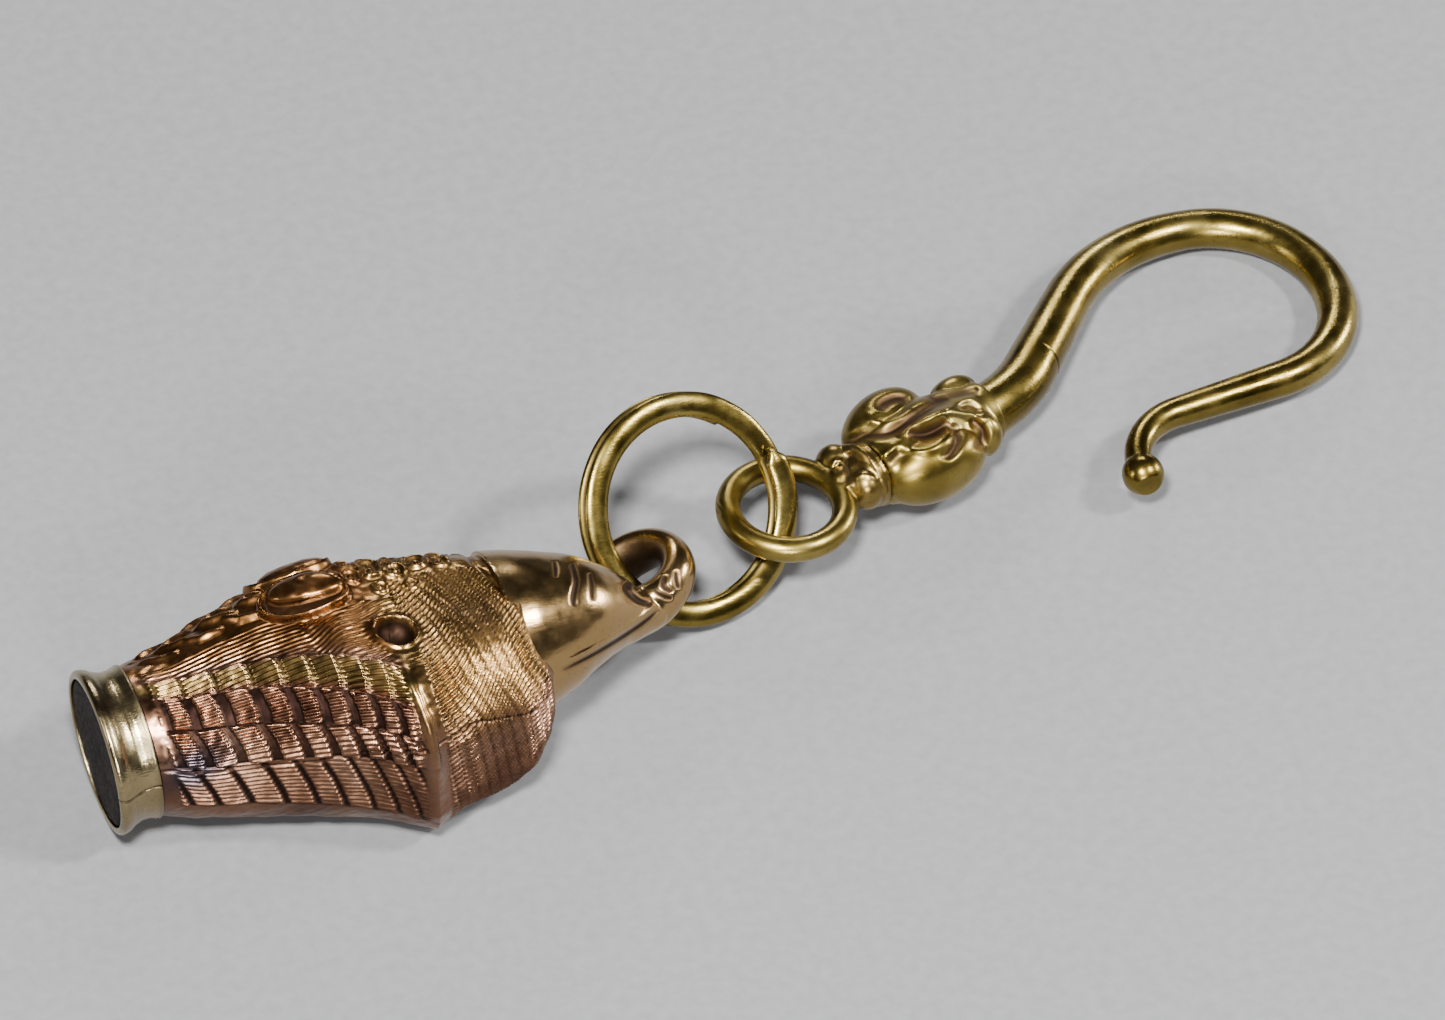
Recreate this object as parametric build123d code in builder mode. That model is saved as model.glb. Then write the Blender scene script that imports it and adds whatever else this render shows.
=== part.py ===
from build123d import *
import os
from math import cos, radians, sin

# A watch fob lying on a table: a hollow seal pendant, a split ring, a small eye ring,
# a scroll calyx and a crook hook. Millimetres, +Z up, the table at Z = 0. The pendant
# points along X with its seal face towards -X. Origin: middle of the footprint.

# Where the pendant lies
seal_x = -35.7              # middle of the seal face
pendant_y = -5.47
pendant_rise = 2.8          # degrees that the pendant's axis climbs from the seal
fit = 0.06                  # gap between neighbouring pieces

# Seal end
lip_radius = 4.3
lip_round = 0.25            # rounding of the lip's front edge
lip_width = 0.62
lip_fall = 0.10             # how much lower the lip is at its back
waist_radius = 3.85
waist_share = 0.62          # share of the collar's length where it is narrowest
back_flare = 0.16
bezel_length = 2.3
stone_radius = 3.8
stone_depth = 0.9
stone_edge = 0.10
stone_recess = 0.08
sleeve_radius = 2.95        # tube of the collar that goes into the body
sleeve_wall = 0.4
sleeve_length = 1.8
butt_width = 0.07
butt_depth = 0.12
butt_angle = 80             # from the upright towards the near side

# Pendant body
body_length = 22.4          # from the collar to the foot of the neck
body_width = 13.0           # across the shoulder
body_height = 10.6          # through the shoulder
wall = 0.55
dimple_radius = 0.95
dimple_rim = 0.16
dimple_lift = 0.30          # height of the dimple's ball centre over the skin
dimple_rows = [
    # along, angle
    (0.50, -38),
    (0.50, 70),
]

# Front: share of the body length, and half width, half height, corner radius,
# sideways shift and lift as shares of the shoulder's width and height
front_rows = [
    # along, width, height, corner, shift, lift
    (0.000, 0.292, 0.356, 0.331, 0.000, 0.000),
    (0.082, 0.322, 0.368, 0.316, -0.015, -0.009),
    (0.216, 0.365, 0.415, 0.299, -0.023, 0.005),
    (0.350, 0.412, 0.467, 0.318, -0.050, 0.024),
    (0.475, 0.455, 0.500, 0.330, -0.100, 0.040),
    (0.573, 0.500, 0.500, 0.320, -0.162, 0.025),
]
# Rear: the same columns, from the shoulder to the foot of the neck
rear_rows = [
    (0.573, 0.500, 0.500, 0.320, -0.162, 0.025),
    (0.649, 0.458, 0.481, 0.318, -0.135, 0.007),
    (0.756, 0.419, 0.481, 0.327, -0.138, 0.009),
    (0.846, 0.373, 0.425, 0.318, -0.142, 0.038),
    (0.917, 0.288, 0.340, 0.306, -0.100, 0.090),
]

# Raised crest: share of the body length, angle from the upright, half length and
# half width of the lump, and how far its middle lies under the surface
crest_rows = [
    # along, angle, half_length, half_width, sunk
    (0.075, 20, 1.70, 0.50, 0.15),
    (0.190, 17, 1.50, 0.62, 0.18),
    (0.290, 20, 1.50, 0.75, 0.22),
    (0.410, 12, 2.00, 1.15, 0.45),
    (0.420, 34, 1.75, 0.85, 0.40),
    (0.525, 24, 0.90, 0.75, 0.30),
    (0.590, 12, 0.95, 0.85, 0.15),
    (0.600, 34, 0.90, 0.80, 0.20),
    (0.660, 22, 1.05, 0.90, 0.12),
    (0.735, 24, 1.10, 0.80, 0.15),
]

# Neck and loop, placed from the foot of the neck along X, Y and Z
neck_rows = [
    # X, Y and Z of the middle, radius
    (-1.90, -0.60, 1.80, 3.85),
    (0.20, -0.45, 1.60, 3.25),
    (1.50, -0.32, 1.22, 2.62),
    (2.60, -0.28, 0.82, 2.02),
    (4.30, -0.20, 0.15, 1.10),
]
loop_middle = (4.75, 2.45, -0.48)
loop_axis = (-0.408, 0.197, 0.890)
loop_radius = 2.42                  # to the middle of the loop's wall
loop_half_wall = 0.80
loop_half_depth = 1.08

# Split ring
split_radius = 5.30
split_wire = 1.30
split_coil = 0.62
split_gap = 0.08
split_turns = 1.93
split_middle = (8.53, 5.42, 0.60)
split_axis = (0.235, -0.724, 0.648)
split_right = (0.941, 0.003, -0.338)
split_start = 61            # degrees round the ring where the back end lies

# Hook: its own plane leans a little, because the calyx is thicker than the crook
hook_middle = (22.14, 7.50, -1.45)  # middle of the calyx
hook_yaw = 20.2
hook_slope = -4.2
eye_along = -8.80
eye_aside = 0.60
eye_radius = 2.95
eye_wire = 1.32
knob_along = -5.0
knob_radius = 1.08
knob_spread = 0.92
throat_radius = 1.38        # of the eye's root where it meets the calyx
post_radius = 0.62
post_length = 1.60          # length of the post inside the calyx
calyx_rows = [
    # along, radius
    (-3.65, 1.45),
    (-2.55, 2.05),
    (-0.60, 2.40),
    (1.90, 2.20),
    (3.80, 1.95),
]
lobe_turns = (38, 142, 218, 322)    # degrees round the shank from the crook's plane
lobe_rows = [
    # along, out, upward share, radius
    (-2.40, 1.95, 1.00, 1.40),
    (1.95, 1.75, 0.80, 1.02),
]
curl_along = -2.00          # small hollows in the ends of the scrolls
curl_out = 3.30
curl_radius = 0.62
socket_depth = 1.60
socket_mouth = 1.00         # clearance cut beyond the calyx's lip

# Crook: straight runs and bends of the wire's middle line, and its radius at each end
shank_radius = 1.45
ball_radius = 1.08
crook_rows = [
    # run, bend radius, turn, wire radius at the end
    (1.55, 7.7, 29.7, 1.40),
    (5.5, 9.2, -53.7, 1.02),
    (0.0, 6.1, -95.5, 1.08),
    (0.0, 5.5, -73.0, 0.94),
    (6.0, 3.7, 84.0, 0.66),
]

os.makedirs("parts", exist_ok=True)


body_start = bezel_length + fit
foot = body_start + body_length     # of the neck, along X from the seal face


def from_foot(place):
    """A point given from the foot of the neck."""
    return Vector(seal_x + foot + place[0], pendant_y + place[1], lip_radius + place[2])


rise = radians(pendant_rise)
seal_plane = Plane(
    origin=from_foot((-foot, 0, 0)),
    x_dir=(0, 1, 0),
    z_dir=(cos(rise), 0, sin(rise)),
)
axis_plane = Plane(origin=seal_plane.origin, x_dir=seal_plane.z_dir, z_dir=(0, -1, 0))
seal_axis = Axis(seal_plane.origin, seal_plane.z_dir)


def section_plane(along):
    """Plane across the pendant at a share of the body's length."""
    return seal_plane.offset(body_start + along * body_length)


def section(row, inset):
    """Rounded section of the body, drawn in the sketch in use."""
    width = row[1] * body_width - inset
    height = row[2] * body_height - inset
    corner = min(row[3] * body_height - inset, 0.985 * min(width, height))
    with Locations((row[4] * body_width, row[5] * body_height)):
        RectangleRounded(2 * width, 2 * height, corner)


def row_at(along):
    """The section's values between two rows of the tables."""
    rows = front_rows + rear_rows[1:]
    for low, high in zip(rows, rows[1:]):
        if low[0] <= along <= high[0]:
            share = (along - low[0]) / (high[0] - low[0])
            return [a + share * (b - a) for a, b in zip(low, high)]


def skin_point(along, angle, sunk):
    """Point under the body's skin, at an angle from the upright towards +Y."""
    row = row_at(along)
    width = row[1] * body_width
    height = row[2] * body_height
    corner = row[3] * body_height
    side = (width - corner) * (1 if angle > 0 else -1) * min(1, abs(angle) / 30)
    reach = corner - sunk
    across = row[4] * body_width + side + reach * sin(radians(angle))
    up = row[5] * body_height + height - corner + reach * cos(radians(angle))
    return section_plane(along).from_local_coords(Vector(across, up, 0))


# Pendant body
with BuildPart() as pendant_body:
    for rows in (front_rows, rear_rows):
        for row in rows:
            with BuildSketch(section_plane(row[0])):
                section(row, 0)
        loft()

    # Neck, solid, from inside the rear of the body to the loop
    neck_line = [from_foot(row) for row in neck_rows]
    neck_before = neck_line[:1] + neck_line[:-1]
    neck_after = neck_line[1:] + neck_line[-1:]
    for row, middle, before, after in zip(neck_rows, neck_line, neck_before, neck_after):
        with BuildSketch(Plane(origin=middle, x_dir=(0, 0, 1), z_dir=after - before)):
            Circle(row[3])
    loft()

    # Loop at the end of the neck
    loop_plane = Plane(origin=from_foot(loop_middle), z_dir=loop_axis)
    loop_section = Plane(
        origin=loop_plane.origin,
        x_dir=loop_plane.x_dir,
        z_dir=loop_plane.y_dir,
    )
    with BuildSketch(loop_section):
        with Locations((loop_radius, 0)):
            Ellipse(loop_half_wall, loop_half_depth)
    revolve(axis=Axis(loop_plane.origin, loop_plane.z_dir))
    with BuildSketch(loop_plane.offset(-3 * loop_half_depth)):
        Circle(loop_radius - loop_half_wall)
    extrude(amount=6 * loop_half_depth, mode=Mode.SUBTRACT)

    # Raised crest
    for along, angle, half_length, half_width, sunk in crest_rows:
        middle = skin_point(along, angle, sunk)
        lump_plane = Plane(
            origin=middle, x_dir=seal_plane.z_dir, z_dir=seal_plane.x_dir
        )
        with BuildSketch(lump_plane):
            Ellipse(half_length, half_width)
            with Locations((0, -half_width)):
                Rectangle(2 * half_length, 2 * half_width, mode=Mode.SUBTRACT)
        revolve(axis=Axis(middle, seal_plane.z_dir))

    # Dimples, round pits with a raised rim
    for along, angle in dimple_rows:
        middle = skin_point(along, angle, 0)
        outward = skin_point(along, angle, -1) - middle
        with Locations(Plane(origin=middle, x_dir=seal_plane.z_dir, z_dir=outward)):
            Torus(dimple_radius, dimple_rim)
    for along, angle in dimple_rows:
        with Locations(skin_point(along, angle, -dimple_lift)):
            Sphere(dimple_radius, mode=Mode.SUBTRACT)

    # Hollow inside, open at the seal end
    for rows in (front_rows, rear_rows[:-1]):
        for row in rows:
            with BuildSketch(section_plane(row[0])):
                section(row, wall)
        loft(mode=Mode.SUBTRACT)

pendant_body.part.label = "pendant_body"
export_step(pendant_body.part, "parts/pendant_body.step")

# Collar round the seal end
with BuildPart() as seal_bezel:
    with BuildSketch(axis_plane):
        with BuildLine():
            mouth = (0.0, stone_radius + fit)
            rim = (0.0, lip_radius - lip_round)
            lip_back = (lip_width, lip_radius - lip_fall)
            waist = (waist_share * bezel_length, waist_radius)
            back = (bezel_length, waist_radius + back_flare)
            seat = stone_recess + stone_depth + fit
            sleeve_end = bezel_length + sleeve_length
            Line(mouth, rim)
            edge = JernArc(start=rim, tangent=(0, 1), radius=lip_round, arc_size=-90)
            Line(edge @ 1, lip_back)
            ThreePointArc(lip_back, waist, back)
            Polyline(
                back,
                (bezel_length, sleeve_radius),
                (sleeve_end, sleeve_radius),
                (sleeve_end, sleeve_radius - sleeve_wall),
                (seat, sleeve_radius - sleeve_wall),
                (seat, stone_radius + fit),
                mouth,
            )
        make_face()
    revolve(axis=seal_axis)
    butt_out = Vector(0, -sin(radians(butt_angle)), cos(radians(butt_angle)))
    butt_plane = Plane(
        origin=seal_plane.origin,
        x_dir=seal_plane.z_dir,
        z_dir=seal_plane.z_dir.cross(butt_out),
    )
    with BuildSketch(butt_plane):
        with Locations((bezel_length / 2, lip_radius + waist_radius - butt_depth)):
            Rectangle(2 * bezel_length, 2 * lip_radius)
    extrude(amount=butt_width / 2, both=True, mode=Mode.SUBTRACT)

seal_bezel.part.label = "seal_bezel"
export_step(seal_bezel.part, "parts/seal_bezel.step")

# Stone, a plain plate with a softened edge
with BuildPart() as seal_stone:
    with BuildSketch(seal_plane.offset(stone_recess)):
        Circle(stone_radius)
    extrude(amount=stone_depth)
    chamfer(seal_stone.edges().sort_by(seal_axis)[0], stone_edge)

seal_stone.part.label = "seal_stone"
export_step(seal_stone.part, "parts/seal_stone.step")

# Split ring, two flat coils wound from one half round wire, made level and then leaned
split_plane = Plane(origin=from_foot(split_middle), x_dir=split_right, z_dir=split_axis)
split_pitch = split_coil + split_gap
split_height = split_pitch * split_turns
with BuildPart() as split_ring:
    with BuildLine():
        coil = Helix(
            pitch=split_pitch,
            height=split_height,
            radius=split_radius,
            center=(0, 0, -split_height / 2),
        )
    with BuildSketch(Plane(origin=coil @ 0, x_dir=(1, 0, 0), z_dir=coil % 0)):
        Ellipse(split_wire / 2, split_coil / 2)
    sweep(path=coil, is_frenet=True)

split_ring.part.label = "split_ring"
split_spin = Location((0, 0, 0), (0, 0, split_start))
export_step(split_ring.part.moved(split_plane.location * split_spin), "parts/split_ring.step")

# Hook frame: along the shank, aside in the crook's own plane, and up
yaw = radians(hook_yaw)
slope = radians(hook_slope)
hook_plane = Plane(
    origin=from_foot(hook_middle),
    x_dir=(cos(slope) * cos(yaw), cos(slope) * sin(yaw), sin(slope)),
    z_dir=(-sin(slope) * cos(yaw), -sin(slope) * sin(yaw), cos(slope)),
)
hook_axis = Axis(hook_plane.origin, hook_plane.x_dir)

calyx_back = calyx_rows[0][0]
calyx_front = calyx_rows[-1][0]
root_back = eye_along + eye_radius      # the eye's root starts in its wire

# Eye ring with its cluster of knobs and the post that holds it in the calyx
with BuildPart(hook_plane) as eye_ring:
    with Locations((eye_along, eye_aside, 0)):
        Torus(eye_radius, eye_wire / 2)
    for knob in range(4):
        turn = radians(45 + 90 * knob)
        with Locations((knob_along, knob_spread * cos(turn), knob_spread * sin(turn))):
            Sphere(knob_radius)
    with BuildSketch(hook_plane):
        with BuildLine():
            Polyline(
                (root_back, 0),
                (root_back, eye_wire / 2),
                (calyx_back - fit, throat_radius),
                (calyx_back - fit, post_radius),
                (calyx_back + post_length, post_radius),
                (calyx_back + post_length, 0),
                close=True,
            )
        make_face()
    revolve(axis=hook_axis)

eye_ring.part.label = "eye_ring"
export_step(eye_ring.part, "parts/eye_ring.step")

# Calyx of curled scrolls, bored for the post and for the shank of the hook
with BuildPart(hook_plane) as scroll_calyx:
    with BuildSketch(hook_plane):
        with BuildLine():
            Spline(calyx_rows)
            Polyline(calyx_rows[-1], (calyx_front, 0), (calyx_back, 0), calyx_rows[0])
        make_face()
    revolve(axis=hook_axis)
    for turn in lobe_turns:
        side = cos(radians(turn))
        high = sin(radians(turn))
        for along, out, upward, radius in lobe_rows:
            with Locations((along, out * side, out * upward * high)):
                Sphere(radius)
        with Locations((curl_along, curl_out * side, curl_out * high)):
            Sphere(curl_radius, mode=Mode.SUBTRACT)
    with BuildSketch(hook_plane):
        with BuildLine():
            Polyline(
                (calyx_back - fit, 0),
                (calyx_back - fit, post_radius + fit),
                (calyx_back + post_length + fit, post_radius + fit),
                (calyx_back + post_length + fit, 0),
                close=True,
            )
        make_face()
    revolve(axis=hook_axis, mode=Mode.SUBTRACT)
    with BuildSketch(hook_plane):
        with BuildLine():
            Polyline(
                (calyx_front - socket_depth, 0),
                (calyx_front - socket_depth, shank_radius + fit),
                (calyx_front + socket_mouth, shank_radius + fit),
                (calyx_front + socket_mouth, 0),
                close=True,
            )
        make_face()
    revolve(axis=hook_axis, mode=Mode.SUBTRACT)

scroll_calyx.part.label = "scroll_calyx"
export_step(scroll_calyx.part, "parts/scroll_calyx.step")

# Crook hook, a round wire that tapers to a ball
with BuildPart() as crook_hook:
    with BuildLine(hook_plane) as crook_line:
        place = (calyx_front - socket_depth + fit, 0)
        heading = 0
        marks = [(place, heading, shank_radius)]
        for run, bend, turn, radius in crook_rows:
            if run > 0:
                step = (run * cos(radians(heading)), run * sin(radians(heading)))
                ahead = (place[0] + step[0], place[1] + step[1])
                Line(place, ahead)
                place = ahead
            side = heading + (90 if turn > 0 else -90)
            hub = (place[0] + bend * cos(radians(side)), place[1] + bend * sin(radians(side)))
            back = side + 180
            CenterArc(hub, bend, back, turn)
            place = (
                hub[0] + bend * cos(radians(back + turn)),
                hub[1] + bend * sin(radians(back + turn)),
            )
            heading += turn
            marks.append((place, heading, radius))
    for place, heading, radius in marks:
        forward = Vector(cos(radians(heading)), sin(radians(heading)), 0)
        origin = hook_plane.from_local_coords(Vector(place[0], place[1], 0))
        ahead = hook_plane.from_local_coords(Vector(place[0], place[1], 0) + forward)
        with BuildSketch(Plane(origin=origin, x_dir=hook_plane.z_dir, z_dir=ahead - origin)):
            Circle(radius)
    sweep(path=crook_line.wires()[0], multisection=True)
    with Locations(origin):
        Sphere(ball_radius)

crook_hook.part.label = "crook_hook"
export_step(crook_hook.part, "parts/crook_hook.step")
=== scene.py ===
from math import cos, pi, radians, sin

import bmesh
import bpy
import numpy as np
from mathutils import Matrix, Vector


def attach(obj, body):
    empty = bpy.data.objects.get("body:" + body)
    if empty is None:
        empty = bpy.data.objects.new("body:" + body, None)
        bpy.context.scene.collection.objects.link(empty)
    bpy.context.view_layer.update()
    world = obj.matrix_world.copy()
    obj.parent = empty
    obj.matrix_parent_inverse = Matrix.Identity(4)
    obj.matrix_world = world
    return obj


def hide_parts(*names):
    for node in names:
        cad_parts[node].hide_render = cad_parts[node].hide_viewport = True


# A watch fob that lies on a table. Lengths are millimetres in the part's frame, and each
# finished mesh is scaled to metres.
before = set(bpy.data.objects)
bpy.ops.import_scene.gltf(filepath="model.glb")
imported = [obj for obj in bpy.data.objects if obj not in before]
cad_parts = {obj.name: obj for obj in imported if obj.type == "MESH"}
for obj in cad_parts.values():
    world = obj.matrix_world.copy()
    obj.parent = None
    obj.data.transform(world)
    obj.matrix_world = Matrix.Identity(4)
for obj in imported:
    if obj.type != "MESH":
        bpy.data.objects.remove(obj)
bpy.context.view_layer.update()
MM = 0.001
FIT = 0.06                  # gap between two pieces that are fitted together

# Pendant, as in the part: its seal face, its lean and its sections
SEAL = np.array((-35.7, -5.47, 4.3))
RISE = radians(2.8)
LIP_RADIUS = 4.3
BEZEL_LENGTH = 2.3
BODY_START = BEZEL_LENGTH + FIT
BODY_LENGTH = 22.4
BODY_WIDTH = 13.0
BODY_HEIGHT = 10.6
FOOT = BODY_START + BODY_LENGTH
FRONT_ROWS = [
    # along, width, height, corner, shift, lift
    (0.000, 0.292, 0.356, 0.331, 0.000, 0.000),
    (0.082, 0.322, 0.368, 0.316, -0.015, -0.009),
    (0.216, 0.365, 0.415, 0.299, -0.023, 0.005),
    (0.350, 0.412, 0.467, 0.318, -0.050, 0.024),
    (0.475, 0.455, 0.500, 0.330, -0.100, 0.040),
    (0.573, 0.500, 0.500, 0.320, -0.162, 0.025),
]
REAR_ROWS = [
    # the same columns
    FRONT_ROWS[-1],
    (0.649, 0.458, 0.481, 0.318, -0.135, 0.007),
    (0.756, 0.419, 0.481, 0.327, -0.138, 0.009),
    (0.846, 0.373, 0.425, 0.318, -0.142, 0.038),
    (0.917, 0.278, 0.336, 0.300, -0.092, 0.090),
    # the last three close on the neck
    (0.940, 0.222, 0.275, 0.250, -0.075, 0.105),
    (0.962, 0.185, 0.232, 0.205, -0.065, 0.115),
    (0.980, 0.125, 0.160, 0.140, -0.045, 0.120),
]
SHOULDER = FRONT_ROWS[-1][0]
REAR_END = REAR_ROWS[-1][0]

# Neck, loop, split ring and hook, placed from the foot of the neck
NECK_START = (-1.36, -0.30, 1.30)        # the loop's turn counts from the line through this
NECK_ROWS = [
    # X, Y, Z, radius
    (-3.70, -0.76, 1.80, 4.50),
    (-2.40, -0.72, 1.82, 4.20),
    (-1.10, -0.62, 1.78, 3.76),
    (0.20, -0.45, 1.60, 3.25),
    (1.50, -0.32, 1.22, 2.62),
    (2.60, -0.28, 0.82, 2.02),
    (3.50, -0.28, 0.45, 1.50),
    (4.30, -0.20, 0.15, 1.10),
    (5.00, -0.05, -0.10, 0.85),
]
LOOP_MIDDLE = (4.75, 2.45, -0.48)
LOOP_AXIS = (-0.408, 0.197, 0.890)
LOOP_RADIUS = 2.42
LOOP_HALF_WALL = 0.80
LOOP_HALF_DEPTH = 1.08
# The wall is heavier on the near side and deeper on the far side
LOOP_HEAVY = 0.42
LOOP_HEAVY_TURN = radians(-60)
LOOP_DEEP = 0.55
LOOP_DEEP_TURN = radians(151)
SPLIT_RADIUS = 5.30
SPLIT_WIRE = 1.30
SPLIT_COIL = 0.62
SPLIT_GAP = 0.08
SPLIT_TURNS = 1.93
SPLIT_MIDDLE = (8.53, 5.42, 0.60)
SPLIT_AXIS = (0.235, -0.724, 0.648)
SPLIT_RIGHT = (0.941, 0.003, -0.338)
SPLIT_START = radians(61)
HOOK_MIDDLE = (22.14, 7.50, -1.45)
HOOK_YAW = radians(20.2)
HOOK_SLOPE = radians(-4.2)
EYE_ALONG = -8.80
EYE_ASIDE = 0.60
EYE_RADIUS = 2.95
EYE_WIRE = 1.32
CALYX_FRONT = 3.80
SOCKET_DEPTH = 1.60
SHANK_RADIUS = 1.45
BALL_RADIUS = 1.08
CROOK_ROWS = [
    # run, bend radius, turn, wire radius at the end
    (1.55, 7.7, 29.7, 1.40),
    (5.5, 9.2, -53.7, 1.02),
    (0.0, 6.1, -95.5, 1.08),
    (0.0, 5.5, -73.0, 0.94),
    (6.0, 3.7, 84.0, 0.66),
]


def from_foot(place):
    """A place measured from the foot of the neck, in the part's frame."""
    return SEAL + np.array((FOOT + place[0], place[1], place[2]))


def unit(v):
    v = np.asarray(v, float)
    return v / np.linalg.norm(v)


def smooth(x):
    """0 below 0, 1 above 1, smooth between."""
    x = np.clip(x, 0, 1)
    return x * x * (3 - 2 * x)


def ripple(points, size, seed):
    """Gentle random field of about -1 to 1 over points, with waves of about a size."""
    rng = np.random.default_rng(seed)
    total = np.zeros(points.shape[:-1])
    for _ in range(9):
        way = rng.normal(size=points.shape[-1])
        way *= rng.uniform(0.6, 1.6) * 2 * pi / size / np.linalg.norm(way)
        total += np.sin(points @ way + rng.uniform(0, 2 * pi))
    return total / 4


def circle(steps):
    """Angles once round, without the last."""
    return np.linspace(0, 2 * pi, steps, endpoint=False)


def turned(turn, radial, level):
    """Points at angles round an upright axis, by their distance from it and their level."""
    x, y = np.cos(turn)[:, None] * radial, np.sin(turn)[:, None] * radial
    return np.stack([x, y, level + np.zeros_like(x)], -1)


def near_turn(turn, middle, breadth):
    """1 at an angle's middle, falling off to both sides."""
    return np.exp(-((np.angle(np.exp(1j * (turn - middle))) / breadth) ** 2))


def new_object(name, data, material=None):
    if material:
        data.materials.append(material)
    obj = bpy.data.objects.new(name, data)
    bpy.context.scene.collection.objects.link(obj)
    return obj


def grid_mesh(name, grid, closed, capped=False):
    """Mesh over a grid of points, which may be closed round its second direction and capped."""
    rows, cols = grid.shape[:2]
    number = np.arange(rows * cols).reshape(rows, cols)
    if closed:
        number = np.concatenate([number, number[:, :1]], axis=1)
    quads = np.stack([number[:-1, :-1], number[:-1, 1:], number[1:, 1:], number[1:, :-1]], -1)
    faces = quads.reshape(-1, 4).tolist()
    points = grid.reshape(-1, 3)
    for end in (0, rows - 1) if capped else ():
        points = np.vstack([points, grid[end].mean(axis=0)])
        hub = len(points) - 1
        ring = number[end].tolist()
        for a, b in zip(ring, ring[1:]):
            faces.append([b, a, hub] if end == 0 else [a, b, hub])
    mesh = bpy.data.meshes.new(name)
    mesh.from_pydata(points.tolist(), [], faces)
    mesh.shade_smooth()
    mesh.update()
    return mesh


def paint(mesh, name, values):
    """Stores one number for each vertex, which the materials read."""
    layer = mesh.attributes.new(name, "FLOAT", "POINT")
    layer.data.foreach_set("value", np.asarray(values, np.float32).ravel())


def read_points(mesh, kind="co"):
    """Places of the vertices, or their normals."""
    values = np.zeros(len(mesh.vertices) * 3)
    mesh.vertices.foreach_get(kind, values)
    return values.reshape(-1, 3)


def write_points(mesh, points):
    mesh.vertices.foreach_set("co", points.ravel())
    mesh.update()


def finish_piece(obj, node):
    """Scales a piece to metres, turns its faces outwards and puts it in the frame."""
    mesh = obj.data
    write_points(mesh, read_points(mesh) * MM)
    work = bmesh.new()
    work.from_mesh(mesh)
    bmesh.ops.recalc_face_normals(work, faces=work.faces)
    work.to_mesh(mesh)
    work.free()
    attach(obj, "root")
    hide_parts(node)


def tube_grid(line, radii, sides):
    """Rings of points round a line that never stands upright."""
    line = np.asarray(line, float)
    ahead = np.gradient(line, axis=0)
    ahead /= np.linalg.norm(ahead, axis=1)[:, None]
    side = np.cross((0.0, 0.0, 1.0), ahead)
    side /= np.linalg.norm(side, axis=1)[:, None]
    top = np.cross(ahead, side)
    turn = circle(sides)
    c, s = np.cos(turn)[:, None], np.sin(turn)[:, None]
    around = side[:, None] * c + top[:, None] * s
    return line[:, None] + around * np.asarray(radii, float)[:, None, None]


def fused(name, meshes, voxel, rounds, material):
    """One skin over several closed meshes, a little softened as in casting."""
    work = bmesh.new()
    for mesh in meshes:
        work.from_mesh(mesh)
    joined = bpy.data.meshes.new(name)
    work.to_mesh(joined)
    work.free()
    obj = new_object(name, joined, material)
    skin = obj.modifiers.new("skin", "REMESH")
    skin.mode = "VOXEL"
    skin.voxel_size = voxel
    skin.use_smooth_shade = True
    soft = obj.modifiers.new("soft", "SMOOTH")
    soft.iterations = rounds
    soft.factor = 0.5
    shaped = bpy.context.evaluated_depsgraph_get()
    shaped.update()
    obj.data = bpy.data.meshes.new_from_object(obj.evaluated_get(shaped))
    obj.modifiers.clear()
    obj.data.shade_smooth()
    return obj


def line_distance(s, g, points):
    """Distance from places on a plane to a line through a few points, and the share along it."""
    best = np.full(np.broadcast(s, g).shape, 1e9)
    share = np.zeros_like(best)
    count = len(points) - 1
    for k, (a, b) in enumerate(zip(points, points[1:])):
        run = (b[0] - a[0], b[1] - a[1])
        t = np.clip(((s - a[0]) * run[0] + (g - a[1]) * run[1]) / (run[0] ** 2 + run[1] ** 2), 0, 1)
        away = np.hypot(s - a[0] - t * run[0], g - a[1] - t * run[1])
        near = away < best
        best = np.where(near, away, best)
        share = np.where(near, (k + t) / count, share)
    return best, share


def curve_distance(points, line):
    """The same, for a smooth line through the places."""
    return line_distance(points[:, 0], points[:, 1], curve_through(line, 8 * len(line)))


def carve(obj, axes, strokes, chased_from):
    """Raises ridges and sinks grooves along lines drawn on the plane of two axes.

    Each line is struck into the surface from one direction. Gives the depth cut.
    """
    mesh = obj.data
    points = read_points(mesh)
    normals = read_points(mesh, "normal")
    local = axes.into(points)
    way = unit(chased_from)
    outward = way @ axes.turn
    facing = smooth((normals @ axes.turn.T @ way - 0.02) / 0.3)
    flat = local[:, :2] - local[:, 2:] * (way[:2] / way[2])
    cut = np.zeros(len(points))
    for line, width, height in strokes:
        away, share = curve_distance(flat, line)
        taper = np.clip(4 * share * (1 - share), 0, 1) ** 0.4
        amount = height * taper * facing * np.exp(-((away / width) ** 2))
        points += (0.7 * outward + 0.3 * normals) * amount[:, None]
        cut += np.clip(-amount, 0, None)
    write_points(mesh, points)
    return cut


def soften(obj, rounds):
    """Moves each point towards the mean of its neighbours, as polishing does."""
    mesh = obj.data
    points = read_points(mesh)
    pairs = np.zeros(len(mesh.edges) * 2, np.int64)
    mesh.edges.foreach_get("vertices", pairs)
    a, b = pairs[0::2], pairs[1::2]
    count = np.bincount(a, minlength=len(points)) + np.bincount(b, minlength=len(points))
    for _ in range(rounds):
        mean = np.zeros_like(points)
        for k in range(3):
            mean[:, k] += np.bincount(a, points[b, k], len(points))
            mean[:, k] += np.bincount(b, points[a, k], len(points))
        points = 0.5 * points + 0.5 * mean / count[:, None]
    write_points(mesh, points)


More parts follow.
